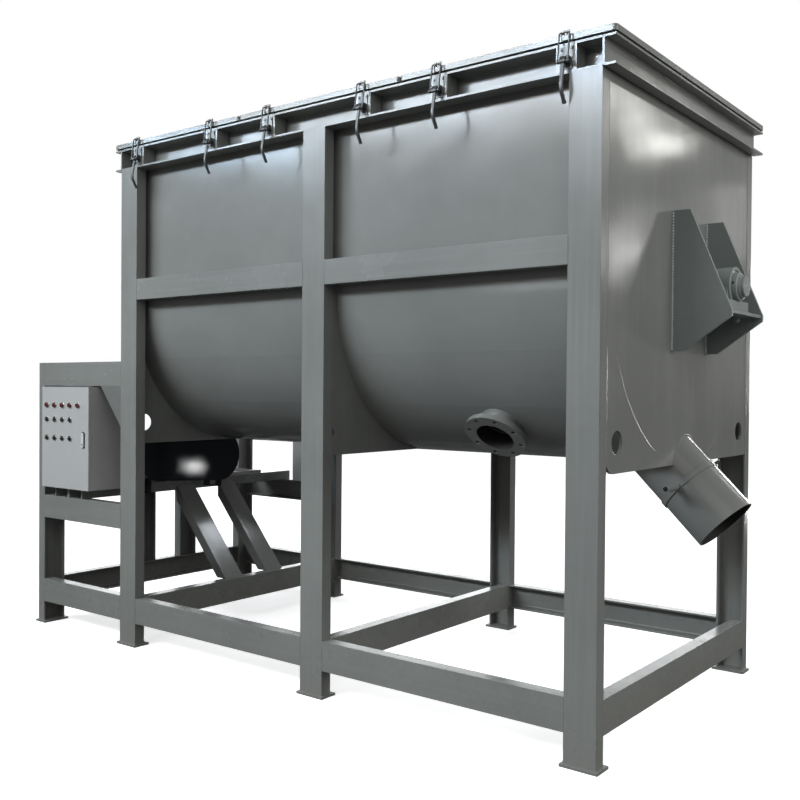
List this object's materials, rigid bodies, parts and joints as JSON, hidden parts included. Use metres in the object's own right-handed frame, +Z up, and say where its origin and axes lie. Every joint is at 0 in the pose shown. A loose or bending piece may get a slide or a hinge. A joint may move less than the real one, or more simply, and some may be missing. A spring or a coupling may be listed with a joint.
{
  "type": "ribbon blender",
  "caption": "Horizontal ribbon blender: U-shaped trough with hinged, clamped lid panels on a channel-steel frame, side drive platform, switch cabinet and slanting discharge pipe.",
  "frame": {"origin": "bottom centre of the bounding box, on the floor under the machine", "axes": "+X along the trough from the drive platform to the discharge end, +Y from the side with the clamps and the cabinet to the hinge side, +Z up"},
  "size_m": [3.5106, 1.5844, 2.446],
  "materials": {
    "frame_paint": "gloss machine grey",
    "trough_paint": "gloss machine grey",
    "lid_paint": "gloss machine grey",
    "gasket_rubber": "matt",
    "clamp_zinc": "bright zinc plate",
    "bearing_paint": "satin",
    "bolt_zinc": "zinc plate",
    "shaft_steel": "turned steel",
    "ribbon_steel": "rolled steel",
    "chain_steel": "oiled steel",
    "guard_paint": "satin grey",
    "reducer_paint": "satin grey-blue",
    "motor_paint": "gloss dark blue",
    "belt_rubber": "matt",
    "cover_black": "gloss black",
    "pipe_paint": "gloss machine grey",
    "cabinet_paint": "fine texture light grey",
    "switch_black": "gloss",
    "lamp_red": "gloss",
    "lock_zinc": "plated"
  },
  "bodies": {
    "frame": {"frame_legs": "frame_paint", "frame_rails": "frame_paint", "platform_rails": "frame_paint", "motor_slides": "ribbon_steel", "platform_braces": "frame_paint", "trough_shell": "trough_paint", "trough_plates": "trough_paint", "rim_channels": "trough_paint", "rim_gasket": "gasket_rubber", "clamp_brackets": "clamp_zinc", "lid_hinges": "frame_paint", "bearing_brackets": "frame_paint", "bearing_housings": "bearing_paint", "bearing_bolts": "bolt_zinc", "shaft_seals": "frame_paint", "drive_chain": "chain_steel", "chain_guard": "guard_paint", "reducer_housing": "reducer_paint", "drive_motor": "motor_paint", "motor_cable": "belt_rubber", "drive_belts": "belt_rubber", "belt_guard": "cover_black", "discharge_pipe": "pipe_paint", "side_outlet": "pipe_paint", "cabinet_body": "cabinet_paint", "mains_enclosure": "cabinet_paint"},
    "rotor": {"main_shaft": "shaft_steel", "mixing_ribbons": "ribbon_steel", "ribbon_spokes": "ribbon_steel", "main_sprocket": "chain_steel"},
    "reducer_low_speed": {"reducer_output": "chain_steel"},
    "reducer_high_speed": {"reducer_input": "chain_steel"},
    "motor_rotor": {"motor_shaft": "chain_steel"},
    "valve": {"valve_disc": "pipe_paint"},
    "door": {"cabinet_door": "cabinet_paint", "indicator_lamps": "lamp_red"},
    "lock": {"door_lock": "lock_zinc"},
    "lid_1": {"lid_panel_1": "lid_paint"},
    "lid_2": {"lid_panel_2": "lid_paint"},
    "lid_3": {"lid_panel_3": "lid_paint"},
    "lever_1": {"clamp_lever_1": "clamp_zinc"},
    "loop_1": {"clamp_loop_1": "clamp_zinc"},
    "lever_2": {"clamp_lever_2": "clamp_zinc"},
    "loop_2": {"clamp_loop_2": "clamp_zinc"},
    "lever_3": {"clamp_lever_3": "clamp_zinc"},
    "loop_3": {"clamp_loop_3": "clamp_zinc"},
    "lever_4": {"clamp_lever_4": "clamp_zinc"},
    "loop_4": {"clamp_loop_4": "clamp_zinc"},
    "lever_5": {"clamp_lever_5": "clamp_zinc"},
    "loop_5": {"clamp_loop_5": "clamp_zinc"},
    "lever_6": {"clamp_lever_6": "clamp_zinc"},
    "loop_6": {"clamp_loop_6": "clamp_zinc"},
    "button_1": {"push_button_1": "switch_black"},
    "button_2": {"push_button_2": "switch_black"},
    "button_3": {"push_button_3": "switch_black"},
    "button_4": {"push_button_4": "switch_black"},
    "button_5": {"push_button_5": "switch_black"},
    "button_6": {"push_button_6": "switch_black"},
    "button_7": {"push_button_7": "switch_black"},
    "button_8": {"push_button_8": "switch_black"}
  },
  "joints": [
    {"name": "rotor_spin", "type": "hinge", "parent": "frame", "child": "rotor", "pos_m": [1.66269, 0.02025, 1.645], "axis": [1, 0, 0], "continuous": true},
    {"name": "reducer_output_spin", "type": "hinge", "parent": "frame", "child": "reducer_low_speed", "pos_m": [-1.30431, 0.02025, 1.06], "axis": [1, 0, 0], "continuous": true},
    {"name": "reducer_input_spin", "type": "hinge", "parent": "frame", "child": "reducer_high_speed", "pos_m": [-1.20431, 0.02025, 0.88], "axis": [1, 0, 0], "continuous": true},
    {"name": "motor_spin", "type": "hinge", "parent": "frame", "child": "motor_rotor", "pos_m": [-1.20431, -0.39975, 0.88], "axis": [1, 0, 0], "continuous": true},
    {"name": "lid_1_hinge", "type": "hinge", "parent": "frame", "child": "lid_1", "pos_m": [1.11852, 0.78425, 2.418], "axis": [-1, 0, 0], "range_deg": [0, 100]},
    {"name": "lid_2_hinge", "type": "hinge", "parent": "frame", "child": "lid_2", "pos_m": [0.23819, 0.78425, 2.418], "axis": [-1, 0, 0], "range_deg": [0, 100]},
    {"name": "lid_3_hinge", "type": "hinge", "parent": "frame", "child": "lid_3", "pos_m": [-0.64214, 0.78425, 2.418], "axis": [-1, 0, 0], "range_deg": [0, 100]},
    {"name": "lever_1_pivot", "type": "hinge", "parent": "frame", "child": "lever_1", "pos_m": [1.37869, -0.74375, 2.35], "axis": [-1, 0, 0], "range_deg": [0, 120]},
    {"name": "loop_1_pivot", "type": "hinge", "parent": "lever_1", "child": "loop_1", "pos_m": [1.37869, -0.75575, 2.338], "axis": [-1, 0, 0], "range_deg": [-160, 0]},
    {"name": "lever_2_pivot", "type": "hinge", "parent": "frame", "child": "lever_2", "pos_m": [0.85836, -0.74375, 2.35], "axis": [-1, 0, 0], "range_deg": [0, 120]},
    {"name": "loop_2_pivot", "type": "hinge", "parent": "lever_2", "child": "loop_2", "pos_m": [0.85836, -0.75575, 2.338], "axis": [-1, 0, 0], "range_deg": [-160, 0]},
    {"name": "lever_3_pivot", "type": "hinge", "parent": "frame", "child": "lever_3", "pos_m": [0.49836, -0.74375, 2.35], "axis": [-1, 0, 0], "range_deg": [0, 120]},
    {"name": "loop_3_pivot", "type": "hinge", "parent": "lever_3", "child": "loop_3", "pos_m": [0.49836, -0.75575, 2.338], "axis": [-1, 0, 0], "range_deg": [-160, 0]},
    {"name": "lever_4_pivot", "type": "hinge", "parent": "frame", "child": "lever_4", "pos_m": [-0.02198, -0.74375, 2.35], "axis": [-1, 0, 0], "range_deg": [0, 120]},
    {"name": "loop_4_pivot", "type": "hinge", "parent": "lever_4", "child": "loop_4", "pos_m": [-0.02198, -0.75575, 2.338], "axis": [-1, 0, 0], "range_deg": [-160, 0]},
    {"name": "lever_5_pivot", "type": "hinge", "parent": "frame", "child": "lever_5", "pos_m": [-0.38198, -0.74375, 2.35], "axis": [-1, 0, 0], "range_deg": [0, 120]},
    {"name": "loop_5_pivot", "type": "hinge", "parent": "lever_5", "child": "loop_5", "pos_m": [-0.38198, -0.75575, 2.338], "axis": [-1, 0, 0], "range_deg": [-160, 0]},
    {"name": "lever_6_pivot", "type": "hinge", "parent": "frame", "child": "lever_6", "pos_m": [-0.90231, -0.74375, 2.35], "axis": [-1, 0, 0], "range_deg": [0, 120]},
    {"name": "loop_6_pivot", "type": "hinge", "parent": "lever_6", "child": "loop_6", "pos_m": [-0.90231, -0.75575, 2.338], "axis": [-1, 0, 0], "range_deg": [-160, 0]},
    {"name": "valve_turn", "type": "hinge", "parent": "frame", "child": "valve", "pos_m": [1.52585, 0.02025, 0.89484], "axis": [0, 1, 0], "range_deg": [0, 90]},
    {"name": "door_hinge", "type": "hinge", "parent": "frame", "child": "door", "pos_m": [-1.64231, -0.76625, 1], "axis": [0, 0, -1], "range_deg": [0, 110]},
    {"name": "lock_turn", "type": "hinge", "parent": "door", "child": "lock", "pos_m": [-1.26931, -0.78025, 0.985], "axis": [0, 1, 0], "range_deg": [0, 90]},
    {"name": "button_1_press", "type": "slide", "parent": "door", "child": "button_1", "axis": [0, 1, 0], "range_m": [0, 0.004], "stiffness_N_per_m": 400},
    {"name": "button_2_press", "type": "slide", "parent": "door", "child": "button_2", "axis": [0, 1, 0], "range_m": [0, 0.004], "stiffness_N_per_m": 400},
    {"name": "button_3_press", "type": "slide", "parent": "door", "child": "button_3", "axis": [0, 1, 0], "range_m": [0, 0.004], "stiffness_N_per_m": 400},
    {"name": "button_4_press", "type": "slide", "parent": "door", "child": "button_4", "axis": [0, 1, 0], "range_m": [0, 0.004], "stiffness_N_per_m": 400},
    {"name": "button_5_press", "type": "slide", "parent": "door", "child": "button_5", "axis": [0, 1, 0], "range_m": [0, 0.004], "stiffness_N_per_m": 400},
    {"name": "button_6_press", "type": "slide", "parent": "door", "child": "button_6", "axis": [0, 1, 0], "range_m": [0, 0.004], "stiffness_N_per_m": 400},
    {"name": "button_7_press", "type": "slide", "parent": "door", "child": "button_7", "axis": [0, 1, 0], "range_m": [0, 0.004], "stiffness_N_per_m": 400},
    {"name": "button_8_press", "type": "slide", "parent": "door", "child": "button_8", "axis": [0, 1, 0], "range_m": [0, 0.004], "stiffness_N_per_m": 400}
  ],
  "couplings": [
    {"joint": "reducer_output_spin", "follows": "rotor_spin", "ratio": 2},
    {"joint": "reducer_input_spin", "follows": "rotor_spin", "ratio": 20},
    {"joint": "motor_spin", "follows": "rotor_spin", "ratio": 30},
    {"joint": "loop_1_pivot", "follows": "lever_1_pivot", "ratio": -1.3},
    {"joint": "loop_2_pivot", "follows": "lever_2_pivot", "ratio": -1.3},
    {"joint": "loop_3_pivot", "follows": "lever_3_pivot", "ratio": -1.3},
    {"joint": "loop_4_pivot", "follows": "lever_4_pivot", "ratio": -1.3},
    {"joint": "loop_5_pivot", "follows": "lever_5_pivot", "ratio": -1.3},
    {"joint": "loop_6_pivot", "follows": "lever_6_pivot", "ratio": -1.3}
  ]
}
